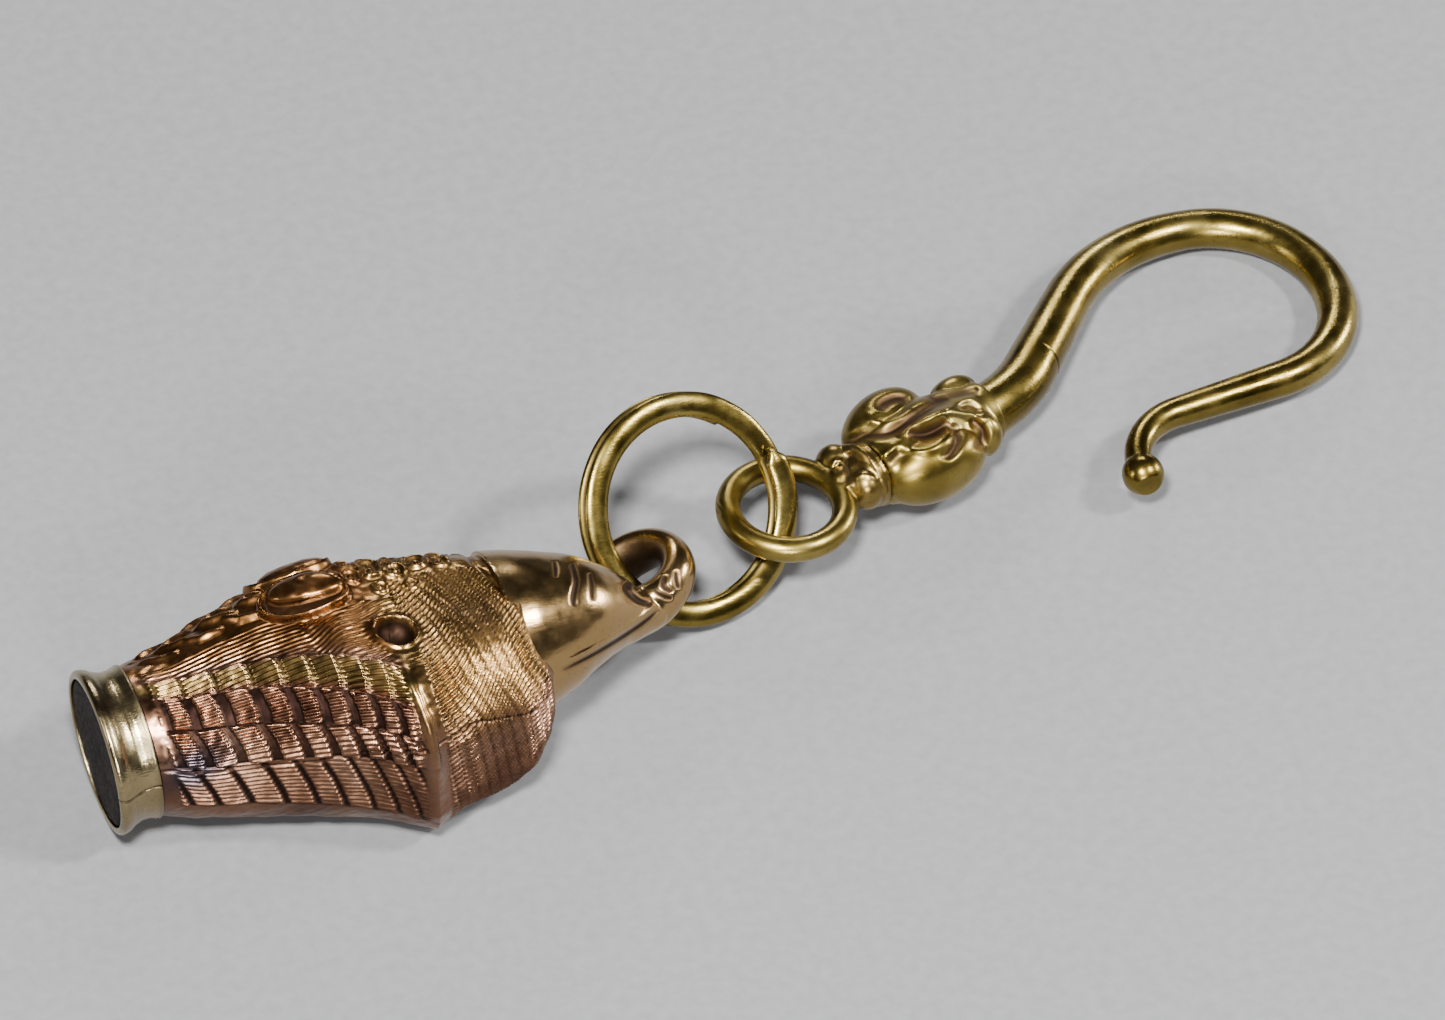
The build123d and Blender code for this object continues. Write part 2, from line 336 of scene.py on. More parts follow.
def curve_rows(rows, where):
    """Smooth values between rows, whose first column says where each one stands."""
    rows = np.asarray(rows, float)
    x, y = rows[:, 0], rows[:, 1:]
    slope = np.gradient(y, x, axis=0)
    i = np.clip(np.searchsorted(x, where, side="right") - 1, 0, len(x) - 2)
    step = x[i + 1] - x[i]
    u = ((where - x[i]) / step)[:, None]
    step = step[:, None]
    return (
        (2 * u**3 - 3 * u**2 + 1) * y[i]
        + (u**3 - 2 * u**2 + u) * step * slope[i]
        + (-2 * u**3 + 3 * u**2) * y[i + 1]
        + (u**3 - u**2) * step * slope[i + 1]
    )


def curve_through(rows, steps):
    """Steps along a smooth curve through rows of values."""
    numbered = np.column_stack([np.arange(len(rows)), rows])
    return curve_rows(numbered, np.linspace(0, len(rows) - 1, steps))


class Axes:
    """A place and three directions."""

    def __init__(self, origin, x, z):
        self.origin = np.asarray(origin, float)
        self.z = unit(z)
        self.x = unit(np.asarray(x, float) - self.z * np.dot(x, self.z))
        self.y = np.cross(self.z, self.x)
        self.turn = np.array([self.x, self.y, self.z])

    def out(self, points):
        return np.asarray(points) @ self.turn + self.origin

    def into(self, points):
        return (np.asarray(points) - self.origin) @ self.turn.T


level_way, upright = np.array((cos(HOOK_YAW), sin(HOOK_YAW), 0)), np.array((0, 0, 1))
hook_x = cos(HOOK_SLOPE) * level_way + sin(HOOK_SLOPE) * upright
hook_z = cos(HOOK_SLOPE) * upright - sin(HOOK_SLOPE) * level_way
hook_axes = Axes(from_foot(HOOK_MIDDLE), hook_x, hook_z)
seal_axes = Axes(SEAL, (cos(RISE), 0, sin(RISE)), (-sin(RISE), 0, cos(RISE)))


# Materials
def new_material(name):
    """A material, its node tree, its shader and the place on the object."""
    material = bpy.data.materials.new(name)
    material.use_nodes = True
    tree = material.node_tree
    place = tree.nodes.new("ShaderNodeTexCoord").outputs["Object"]
    return material, tree, tree.nodes["Principled BSDF"], place


def painted(tree, name):
    """The numbers painted on the mesh under a name."""
    node = tree.nodes.new("ShaderNodeAttribute")
    node.attribute_name = name
    return node.outputs["Fac"]


def add_bump(tree, shader, height, strength):
    bump = tree.nodes.new("ShaderNodeBump")
    bump.inputs["Strength"].default_value = strength
    bump.inputs["Distance"].default_value = BUMP_DEPTH
    tree.links.new(height, bump.inputs["Height"])
    tree.links.new(bump.outputs[0], shader.inputs["Normal"])


def ramp(tree, factor, stops):
    node = tree.nodes.new("ShaderNodeValToRGB")
    first, last = node.color_ramp.elements
    first.position, first.color = stops[0][0], (*stops[0][1], 1)
    last.position, last.color = stops[-1][0], (*stops[-1][1], 1)
    for place, colour in stops[1:-1]:
        node.color_ramp.elements.new(place).color = (*colour, 1)
    tree.links.new(factor, node.inputs[0])
    return node.outputs[0]


def number_map(tree, value, low, high, to_low, to_high):
    node = tree.nodes.new("ShaderNodeMapRange")
    tree.links.new(value, node.inputs["Value"])
    limits = {"From Min": low, "From Max": high, "To Min": to_low, "To Max": to_high}
    for name, limit in limits.items():
        node.inputs[name].default_value = limit
    return node.outputs[0]


def noise_value(tree, place, scale, detail, stretch=None):
    """Noise over the object, scale in waves a metre."""
    if stretch is not None:
        mapping = tree.nodes.new("ShaderNodeMapping")
        mapping.inputs["Scale"].default_value = stretch
        mapping.inputs["Rotation"].default_value = (0.3, 0.2, 0.5)
        tree.links.new(place, mapping.inputs["Vector"])
        place = mapping.outputs[0]
    node = tree.nodes.new("ShaderNodeTexNoise")
    node.inputs["Scale"].default_value = scale
    node.inputs["Detail"].default_value = detail
    tree.links.new(place, node.inputs["Vector"])
    return node.outputs["Fac"]


def mix_colour(tree, factor, colour, tone):
    """A colour that turns to a tone as the factor rises."""
    node = tree.nodes.new("ShaderNodeMix")
    node.data_type = "RGBA"
    # For colours the node's inputs are 6 and 7, and its output is 2
    tree.links.new(factor, node.inputs[0])
    tree.links.new(colour, node.inputs[6])
    node.inputs[7].default_value = (*tone, 1)
    return node.outputs[2]


def sum_values(tree, a, b, weight):
    """The first value and a share of the second."""
    node = tree.nodes.new("ShaderNodeMath")
    node.operation = "MULTIPLY_ADD"
    tree.links.new(b, node.inputs[0])
    node.inputs[1].default_value = weight
    tree.links.new(a, node.inputs[2])
    return node.outputs[0]


def gold(name, tones, roughness, scratch, zones=()):
    """Worn gold: cloudy tones, dark patina and painted shade in the recesses, fine scratches.

    Each zone is a painted attribute and the tone that it turns the gold to.
    """
    material, tree, shader, place = new_material(name)
    shader.inputs["Metallic"].default_value = 1.0
    clouds = noise_value(tree, place, 260, 3)
    colour = ramp(tree, clouds, [(0.30, tones[0]), (0.50, tones[1]), (0.72, tones[2])])
    for attribute, tone in zones:
        colour = mix_colour(tree, painted(tree, attribute), colour, tone)
    # The painted mask turns the gold towards the dark colour: patina in hollows, and painted shade
    patina_and_shade = painted(tree, "patina_and_shade")
    colour = mix_colour(tree, patina_and_shade, colour, PATINA_AND_SHADE)
    specks = noise_value(tree, place, 5200, 2)
    speck_dark = number_map(tree, specks, 0.60, 0.74, 0, 0.35)
    colour = mix_colour(tree, speck_dark, colour, PATINA_AND_SHADE)
    tree.links.new(colour, shader.inputs["Base Color"])
    smears = noise_value(tree, place, 900, 4)
    rough = number_map(tree, smears, 0.3, 0.7, roughness[0], roughness[1])
    rough = sum_values(tree, rough, patina_and_shade, 0.30)
    tree.links.new(rough, shader.inputs["Roughness"])
    lines = noise_value(tree, place, 1500, 3, (1, 9, 5))
    grain = noise_value(tree, place, 9000, 2)
    add_bump(tree, shader, sum_values(tree, lines, grain, 0.35), scratch)
    return material


def stone():
    """Dark brown agate, matt, with faint mottled grain."""
    material, tree, shader, place = new_material("dark_stone")
    clouds = noise_value(tree, place, 700, 5)
    colour = ramp(tree, clouds, [(0.3, AGATE[0]), (0.5, AGATE[1]), (0.75, AGATE[2])])
    shader.inputs["IOR"].default_value = 1.12
    shader.inputs["Specular IOR Level"].default_value = 0.3
    tree.links.new(colour, shader.inputs["Base Color"])
    grain = noise_value(tree, place, 4200, 3)
    tree.links.new(number_map(tree, grain, 0.3, 0.7, 0.42, 0.62), shader.inputs["Roughness"])
    add_bump(tree, shader, grain, 0.25)
    return material


BUMP_DEPTH = 0.00003
# Tones of each metal from dark to light, and of the places that differ from it
ROSE = [(0.125, 0.058, 0.034), (0.21, 0.104, 0.060), (0.34, 0.19, 0.12)]
ORANGE = (0.19, 0.075, 0.018)
YELLOW = (0.25, 0.165, 0.050)
# Paler tone painted on the upper rear as a painted highlight
REAR_HIGHLIGHT = (0.47, 0.27, 0.090)
NECK = (0.38, 0.25, 0.10)
OLIVE = [(0.125, 0.086, 0.017), (0.215, 0.155, 0.036), (0.36, 0.275, 0.085)]
PALE = [(0.20, 0.15, 0.08), (0.32, 0.25, 0.13), (0.50, 0.41, 0.24)]
# Dark colour of the patina in hollows, also used for painted shade
PATINA_AND_SHADE = (0.012, 0.006, 0.005)
BLUE = (0.03, 0.033, 0.05)
COPPER = (0.17, 0.085, 0.055)
AGATE = [(0.004, 0.003, 0.003), (0.008, 0.006, 0.005), (0.022, 0.015, 0.012)]

chased_zones = [("orange", ORANGE), ("yellow", YELLOW), ("light", REAR_HIGHLIGHT), ("blue", BLUE)]
rose_gold = gold("chased_rose_gold", ROSE, (0.20, 0.34), 0.10, chased_zones)
neck_gold = gold("polished_rose_gold", ROSE, (0.15, 0.27), 0.15, [("yellow", NECK)])
olive_gold = gold("polished_yellow_gold", OLIVE, (0.20, 0.32), 0.22)
cast_gold = gold("cast_yellow_gold", OLIVE, (0.26, 0.38), 0.15, [("copper", COPPER)])
pale_gold = gold("pale_gold", PALE, (0.16, 0.30), 0.40)
dark_stone = stone()


# Pendant body
def body_rows(along):
    """Section values at shares of the body's length."""
    front = curve_rows(FRONT_ROWS, np.minimum(along, SHOULDER))
    rear = curve_rows(REAR_ROWS, np.maximum(along, SHOULDER))
    return np.where((along <= SHOULDER)[:, None], front, rear)


def rounded_outline(row, share):
    """Points at shares of a rounded box's girth, from its top towards -Y, and the girth."""
    width, height, corner = row[0] * BODY_WIDTH, row[1] * BODY_HEIGHT, row[2] * BODY_HEIGHT
    corner = min(corner, 0.985 * min(width, height))
    a, b, quarter = width - corner, height - corner, pi * corner / 2
    runs = [a, quarter, 2 * b, quarter, 2 * a, quarter, 2 * b, quarter, a]
    marks = np.cumsum([0] + runs)
    girth = marks[-1]
    length = (share % 1) * girth
    run = np.clip(np.searchsorted(marks, length, side="right") - 1, 0, 8)
    past = length - marks[run]
    turn = past / corner
    lines = {0: (0, height, -1, 0), 2: (-width, b, 0, -1), 4: (-a, -height, 1, 0),
             6: (width, -b, 0, 1), 8: (a, height, -1, 0)}
    arcs = {1: (-a, b, pi / 2), 3: (-a, -b, pi), 5: (a, -b, 1.5 * pi), 7: (a, b, 0)}
    x, y = np.zeros_like(length), np.zeros_like(length)
    for k, (px, py, dx, dy) in lines.items():
        on = run == k
        x[on], y[on] = px + dx * past[on], py + dy * past[on]
    for k, (px, py, start) in arcs.items():
        on = run == k
        x[on] = px + corner * np.cos(start + turn[on])
        y[on] = py + corner * np.sin(start + turn[on])
    return x + row[3] * BODY_WIDTH, y + row[4] * BODY_HEIGHT, girth


def body_surface(s, share):
    """Plain surface of the body at distances from the seal face and shares of the girth."""
    rows = body_rows((s - BODY_START) / BODY_LENGTH)
    outlines = [rounded_outline(row, share) for row in rows]
    across, up, girth = (np.array(values) for values in zip(*outlines))
    return seal_axes.out(np.stack([s[:, None] + np.zeros_like(up), across, up], -1)), girth


# The chased work is laid out by s, the distance from the seal face, and by m, the share of
# the girth, where both sides of the crest count alike. g is the distance from the crest.
CREST = -0.10               # share of the girth where the crest runs
SEAM = 0.20                 # share of the girth where the two halves meet
SEAM_ROWS = [
    # s, m of the drawn seam line
    (2.4, 0.188),
    (9.0, 0.212),
    (13.6, 0.200),
    (15.5, 0.184),
    (18.0, 0.182),
    (22.6, 0.224),
]
SEAM_BREADTH = 0.10
SEAM_DEPTH = 0.11
FRONT_END = 15.0
# Spacing of the fine ribs in the blocks, of the lines and the slanted field above them, of
# the slanted ribs of the rear and of the bands that cross these
RIB = 0.30
LINE = 0.26
SLANT = 0.30
REAR_RIB = 0.33
REAR_BAND = 0.62
NECK_DROP = 0.9             # how far the body drops under the neck
RELIEF_END = 23.2
SHOULDER_LINE = [
    # s, g
    (15.6, 5.2), (15.1, 6.6), (14.95, 8.4), (15.16, 11.0), (15.24, 12.9), (15.42, 15.6),
]
DIMPLE = (15.35, 4.75)
DIMPLE_RADIUS = 1.02
DIMPLE_DEPTH = 0.95
# Where the basket work's cross gaps are along s, and its rows' borders at two stations
GAPS = [1.9, 3.3, 4.6, 6.2, 7.9, 9.4, 10.7, 12.0, 13.1, 14.1, 15.0, 16.0]
NEAR_S, FAR_S = 5.0, 11.0
ROW_BORDERS = [
    # at the near station, at the far station
    (0.000, 0.045),
    (0.052, 0.102),
    (0.116, 0.153),
    (0.188, 0.208),
    (0.290, 0.312),
]
BLOCKS = [
    # lean, breadth, height, darkness of the gaps between them, row by row
    (0.10, 0.90, 0.22, 0.55),
    (-0.15, 0.66, 0.26, 1.10),
    (-0.55, 0.72, 0.22, 1.00),
    (-1.10, 0.86, 0.13, 0.75),
]


def border(s, k):
    """Share of the girth where a border of the basket work's rows runs."""
    near, far = ROW_BORDERS[k]
    return near + (s - NEAR_S) / (FAR_S - NEAR_S) * (far - near)


def seam_share(s):
    return np.interp(s, *zip(*SEAM_ROWS))


def oval(s, g, middle, half, turn):
    """Squared distance from an oval's middle, 1 on its outline."""
    ds, dg = s - middle[0], g - middle[1]
    c, n = cos(turn), sin(turn)
    return ((ds * c + dg * n) / half[0]) ** 2 + ((-ds * n + dg * c) / half[1]) ** 2


def ridge(s, g, points, width, height):
    """Round ridge along a line, which tapers to both its ends."""
    away, share = line_distance(s, g, points)
    taper = np.sqrt(np.clip(4 * share * (1 - share), 0, 1))
    return height * taper * np.exp(-((away / width) ** 2))


def basket(s, share, girth, row):
    """Height of one row of the basket work, blocks crossed by fine ribs, and its gaps."""
    lean, reach, height, _ = BLOCKS[row]
    low, high = border(s, row), border(s, row + 1)
    q = (share - low) / (high - low)
    arch = 0.45 * (q - 0.5) ** 2
    column = np.interp(s + lean * (q - 0.5) + arch, GAPS, np.arange(len(GAPS)))
    x = 2 * (column - np.floor(column)) - 1
    y = 2 * np.clip(q, 0, 1) - 1
    block = smooth((1 - np.abs(x / reach) ** 5) * 2.2) * smooth((1 - np.abs(y) ** 8) * 2.0)
    inside = smooth((q + 0.03) / 0.06) * smooth((1.03 - q) / 0.06)
    ribs = np.cos(2 * pi * (share * girth - 0.10 * s * (row + 0.5)) / RIB)
    tip = 1.0 if row in (1, 2) else 0.5 + 0.5 * x
    return inside * block * (height * tip + 0.07 * ribs), inside * (1 - block)


def body_relief(s, share, girth):
    """Height of the chased work over the plain surface, where it is dark with patina and painted
    shade, and where the smooth strip is, which gets a painted highlight.

    Gives s, m and g of each point too.
    """
    s = s[:, None] * np.ones_like(share)
    girth = girth[:, None]
    m = CREST + np.abs((share + 0.5 - CREST) % 1 - 0.5) + np.zeros_like(s)
    g = (m - CREST) * girth
    height, dark = np.zeros_like(s), np.zeros_like(s)
    front = smooth((FRONT_END - s) / 0.5) * smooth((s - 2.9) / 0.4)

    # Basket work of the front
    for row, (*_, darkness) in enumerate(BLOCKS):
        up, gap = basket(s, m, girth, row)
        height += front * up
        dark += front * np.sqrt(gap) * darkness

    # Fine lines above it and the slanted field by the dimple
    top = border(s, 0)
    fine = smooth((top - m) / 0.006) * smooth((m - CREST - 0.055) / 0.01)
    lines = np.cos(2 * pi * (g - 0.12 * s) / LINE)
    field = smooth((s - 10.8) / 0.8) * fine * smooth((16.2 - s) / 0.5)
    slanted = np.cos(2 * pi * (g + 0.42 * (s - 11) + 0.10 * np.sin(2.6 * s)) / SLANT)
    plain_lines = fine * (1 - field) * front
    height += plain_lines * 0.030 * lines + field * 0.045 * slanted
    dark += 0.35 * plain_lines * (lines < -0.2) + 0.45 * field * (slanted < -0.2)

    # Rear: slanted ribs in bands that follow the arc by the neck
    end = 20.5 + 1.2 * smooth((m + 0.09) / 0.12) + 0.9 * smooth((m - 0.10) / 0.12)
    side = smooth((0.42 - m) / 0.06)
    rear = smooth((s - 15.9) / 0.3) * smooth((end - s) / 0.25) * side
    rear *= smooth((m - CREST - 0.02) / 0.02)
    bend = 0.55 * smooth((s - 17) / 4)
    slant = np.cos(2 * pi * (g + (0.62 + bend) * (s - 15.5)) / REAR_RIB)
    crossing = np.cos(2 * pi * ((end - s) + 0.10 * g) / REAR_BAND)
    beads = smooth((0.36 - m) / 0.06) * smooth((-0.45 - crossing) / 0.3)
    height += rear * (0.085 * slant - 0.07 * beads)
    dark += rear * (0.60 * (slant < -0.25) + 0.45 * beads)
    arc_edge = np.exp(-(((s - end - 0.08) / 0.16) ** 2)) * side
    height -= 0.10 * arc_edge
    dark += 0.35 * arc_edge
    # Behind the arc the body drops under the neck
    height -= NECK_DROP * smooth((s - end - 0.12) / 0.35) * smooth((m - 0.01) / 0.05)

    # Seam
    seam = np.exp(-(((m - seam_share(s)) * girth / SEAM_BREADTH) ** 2))
    height -= SEAM_DEPTH * seam
    dark += 0.9 * seam

    # Sharp ridge of the shoulder and the smooth strip from the dimple
    away, along = line_distance(s, g, SHOULDER_LINE)
    reach = 1.05 - 0.72 * smooth(along * 2.4)
    clear = np.exp(-((away / reach) ** 4)) * smooth((1 - along) * 4)
    crease = np.exp(-((away / 0.24) ** 2)) * smooth(along * 3 - 0.3) * smooth((1 - along) * 3)
    height = height * (1 - clear) + 0.05 * clear + 0.13 * crease
    dark *= 1 - clear

    # Dimple
    deep = np.sqrt(oval(s, g, DIMPLE, (DIMPLE_RADIUS, DIMPLE_RADIUS), 0))
    calm = smooth((1.55 - deep) / 0.35)
    height = height * (1 - calm) + 0.10 * calm
    height += 0.13 * np.exp(-(((deep - 1.06) / 0.12) ** 2))
    height -= DIMPLE_DEPTH * np.sqrt(np.clip(1 - deep**2, 0, 1))
    # The dimple's hollow is painted dark, as shade
    dark = dark * (1 - calm) + 1.1 * smooth((1.02 - deep) / 0.10)

    return height, dark, clear, s, m, g


LEAVES = [
    # from, to: distance from the seal and from the crest, then width and height
    (3.2, 0.3, 5.2, 0.9, 0.24, 0.20),
    (4.2, -0.3, 6.2, 0.5, 0.26, 0.24),
    (5.4, 0.3, 7.6, 1.2, 0.24, 0.22),
    (6.4, -0.4, 8.6, 0.5, 0.28, 0.28),
    (7.6, 0.3, 9.8, 1.5, 0.24, 0.24),
    (8.6, -0.3, 10.2, 0.3, 0.26, 0.30),
]
# Two nested ovals of the scroll, the inner one nearer the crest
SCROLL_OUTER = ((11.75, 1.50), (2.25, 1.42), 0.10)
SCROLL_INNER = ((11.95, 1.12), (1.75, 0.86), 0.10)
CURLS = [
    # middle, radius, height, where the curl is open in degrees
    (14.4, 0.6, 0.62, 0.30, 40),
    (15.5, 0.2, 0.70, 0.36, 160),
    (15.6, 1.5, 0.50, 0.22, 250),
    (16.7, 0.5, 0.66, 0.36, 60),
    (17.3, 1.6, 0.46, 0.18, 300),
    (17.9, 0.1, 0.66, 0.34, 200),
    (19.0, 0.4, 0.60, 0.26, 20),
]


def crest_relief(s, g):
    """Leaves, scrolls and curls along the crest, and the patina and painted shade in their hollows.
    """
    height, dark = np.zeros_like(s), np.zeros_like(s)
    for s0, g0, s1, g1, width, tall in LEAVES:
        middle = (0.55 * s0 + 0.45 * s1, 0.35 * g0 + 0.65 * g1 + 0.12)
        height = np.maximum(height, ridge(s, g, [(s0, g0), middle, (s1, g1)], width, tall))
    outer = np.sqrt(oval(s, g, *SCROLL_OUTER))
    inner = np.sqrt(oval(s, g, *SCROLL_INNER))
    within = smooth((1.06 - outer) / 0.05)
    shell = 0.12 + 0.36 * np.exp(-(((outer - 0.94) / 0.07) ** 2))
    core = np.sqrt(np.clip(1 - inner**2, 0, 1))
    shell = np.maximum(shell, 0.34 * smooth((1.12 - inner) / 0.10) + 0.34 * core)
    height = np.maximum(height, within * shell)
    dark += 0.95 * within * smooth((inner - 1.04) / 0.06) * smooth((0.90 - outer) / 0.06)
    dark += 0.6 * np.exp(-(((outer - 1.12) / 0.06) ** 2))
    for s0, g0, radius, tall, opening in CURLS:
        r = np.hypot(s - s0, g - g0) / radius
        gap = near_turn(np.arctan2(g - g0, s - s0), radians(opening), 0.5)
        curl = 0.7 * tall * np.exp(-(((r - 0.74) / 0.20) ** 2)) * (1 - 0.8 * gap)
        curl = np.maximum(curl, 0.5 * tall * np.exp(-((r / 0.22) ** 2)))
        height = np.maximum(height, np.where(r < 1.2, curl, 0))
        dark += 0.85 * np.exp(-(((r - 0.42) / 0.14) ** 2))
        dark += 0.5 * np.exp(-(((r - 1.12) / 0.12) ** 2))
    return height, dark


def body_half(name, low, high, rows, cols):
    """One stamped half of the body, from one seam to the other."""
    s = np.linspace(BODY_START, BODY_START + REAR_END * BODY_LENGTH, rows)
    share = np.linspace(low, high, cols)
    points, girth = body_surface(s, share)
    height, dark, strip_highlight, sg, m, g = body_relief(s, share, girth)
    crest, shade = crest_relief(sg, g)
    height = np.where(crest > 0.02, np.maximum(crest, height), height)
    dark = np.maximum(dark * (crest < 0.05), shade)
    spread = np.stack([sg, share * girth[:, None]], -1)
    height += 0.035 * ripple(spread, 2.2, 7) + 0.012 * ripple(spread, 0.6, 8)
    normal = np.cross(np.gradient(points, axis=1), np.gradient(points, axis=0))
    normal /= np.linalg.norm(normal, axis=2)[..., None]
    centre = points.mean(axis=1, keepdims=True)
    if np.sum((points - centre) * normal) < 0:
        normal = -normal
    # The relief fades out at both ends, and none of it stands out where the body lies
    ease = smooth((sg - BODY_START) / 0.5) * smooth((RELIEF_END - sg) / 0.4)
    under = smooth((0.15 - np.abs(share % 1 - 0.5)) / 0.05)
    height = np.where(height > 0, height * (1 - under), height)
    mesh = grid_mesh(name, points + normal * (height * ease)[..., None], False)
    # Colour zones: the front, its rows, the crown along the crest, the rear and its end. The front
    # below the seam is painted darker, as shade on the underside.
    facing = smooth((15.4 - sg) / 0.8)
    underside_shade = facing * smooth((m - seam_share(sg)) / 0.012)
    # Dark field: patina and painted shade in the gaps, grooves and dimple, and painted shade below
    # the seam
    paint(mesh, "patina_and_shade", np.clip(np.clip(dark, 0, 1.12) * 0.88 + 0.34 * underside_shade, 0, 0.98))
    band = smooth((m - border(sg, 0)) / 0.012) * smooth((border(sg, 1) - m) / 0.02)
    crown = smooth((border(sg, 0) - m) / 0.03)
    behind = smooth((0.20 - m) / 0.10)
    closing = smooth((sg - 22.6) / 0.5)
    yellow = facing * (0.80 * band + 0.12 * crown) + (1 - facing) * 0.50 * behind
    yellow = yellow * (1 - closing) + 0.70 * closing
    # The smooth strip from the dimple is painted a little yellower, as a painted highlight
    paint(mesh, "yellow", np.clip(yellow + 0.12 * strip_highlight, 0, 0.9))
    # The upper rear is painted paler, as a painted highlight on its ribs
    middle = smooth((m - 0.01) / 0.06) * smooth((0.24 - m) / 0.12)
    paint(mesh, "light", 0.62 * smooth((sg - 15.6) / 1.4) * (1 - closing) * middle)
    top = smooth((0.02 - m) / 0.05)
    orange = facing * 0.80 * crown + (1 - facing) * (1 - closing) * (0.45 * behind + 0.3 * top)
    paint(mesh, "orange", np.clip(orange, 0, 0.9))
    stain = np.exp(-(((sg - 4.0) / 1.6) ** 2 + ((g - 7.6) / 1.1) ** 2))
    paint(mesh, "blue", np.clip(stain * 1.2, 0, 0.85))
    return new_object(name, mesh, rose_gold)


detail = 1.0
upper = body_half("body_upper_half", SEAM - 0.5, SEAM, int(258 * detail), int(370 * detail))
finish_piece(upper, "pendant_body")
lower = body_half("body_lower_half", SEAM, SEAM + 0.5, int(230 * detail), int(300 * detail))
finish_piece(lower, "pendant_body")


# Neck and loop
NECK_STROKES = [
    # line on the plane of X and Y, from the foot of the neck, then width and height
    ([(1.3, 4.8), (1.2, 4.3), (1.0, 3.7)], 0.13, -0.09),
    ([(2.1, 4.4), (1.9, 3.2), (1.4, 2.2), (1.2, 1.6)], 0.15, -0.12),
    ([(2.7, 3.5), (2.5, 2.6), (2.2, 1.6)], 0.13, -0.09),
    ([(-0.8, -2.4), (1.4, -1.75), (3.8, -0.8), (5.1, -0.1)], 0.13, -0.08),
    ([(-0.4, -1.9), (1.7, -1.25), (3.9, -0.35), (5.1, 0.35)], 0.16, 0.10),
    ([(4.9, 2.3), (4.1, 1.9), (4.3, 0.9), (4.8, 0.4)], 0.18, -0.20),
    ([(6.2, 2.1), (5.9, 1.4), (6.1, 0.8)], 0.16, -0.13),
    ([(6.8, 2.2), (6.6, 1.5), (6.5, 0.9)], 0.14, -0.08),
    ([(5.3, 1.2), (5.7, 0.6), (6.0, 0.4)], 0.16, -0.10),
]
# Direction that the photographed side of the neck is struck from, in the part's axes
CHASED_FROM = (-0.23, -0.64, 0.73)


def neck():
    """Tapering neck whose end is bent round into the loop."""
    way = unit(from_foot(LOOP_MIDDLE) - from_foot(NECK_START))
    values = curve_through(NECK_ROWS, 90)
    middle = from_foot((0, 0, 0)) + values[:, :3]
    shaft = grid_mesh("shaft", tube_grid(middle, values[:, 3], 72), True, True)
    loop_z = unit(LOOP_AXIS)
    loop = Axes(from_foot(LOOP_MIDDLE), np.cross(way, loop_z), loop_z)
    turn, around = circle(120), circle(36)
    heavy = LOOP_HEAVY * near_turn(turn, LOOP_HEAVY_TURN, 0.9)[:, None]
    deep = LOOP_DEEP * near_turn(turn, LOOP_DEEP_TURN, 0.9)[:, None]
    radial = LOOP_RADIUS + (LOOP_HALF_WALL + 0.25 * heavy) * np.cos(around)
    level = (LOOP_HALF_DEPTH + heavy) * np.sin(around) + 0.5 * heavy
    level -= deep * np.clip(-np.sin(around), 0, None)
    ring = turned(turn, radial, level)
    torus = grid_mesh("torus", loop.out(np.concatenate([ring, ring[:1]])), True)
    obj = fused("neck_and_loop", [shaft, torus], 0.08, 8, neck_gold)
    top_axes = Axes(from_foot((0, 0, 0)), (1, 0, 0), (0, 0, 1))
    cut = carve(obj, top_axes, NECK_STROKES, CHASED_FROM)
    points = read_points(obj.data)
    local = loop.into(points)
    inside = np.hypot(local[:, 0], local[:, 1])
    inner = smooth((LOOP_RADIUS - 0.1 - inside) / 0.4) * (np.abs(local[:, 2]) < 2.2)
    # Painted shade on the loop's inner wall, and patina with painted shade in the cut lines
    paint(obj.data, "patina_and_shade", np.clip(0.85 * inner + cut * 18, 0, 0.96))
    paint(obj.data, "yellow", np.full(len(points), 0.80))
    return obj


finish_piece(neck(), "pendant_body")


# Collar and stone
WAIST_RADIUS = 3.85
LIP_ROLL = 0.25
JOINT_TURN = 80             # where the collar's joint is, in degrees from its top
PLATE_ROWS = [
    # distance from the seal face, radius
    (0.10, 0.0),
    (0.10, 1.2),
    (0.09, 2.4),
    (0.09, 3.3),
    (0.10, 3.72),
    (0.16, 3.8),
    (0.5, 3.8),
    (0.9, 3.8),
]


def lathe(profile, steps, wobble):
    """Rings of points turned from a profile of distances along and out, and their turns."""
    turn = circle(steps)
    along, out = np.asarray(profile).T[..., None]
    grid = np.stack([along + np.zeros(steps), -out * np.sin(turn), out * np.cos(turn)], -1)
    grid[..., 1:] *= 1 + wobble * ripple(grid, 5.0, 3)[..., None]
    return turn, np.concatenate([grid, grid[:1]])


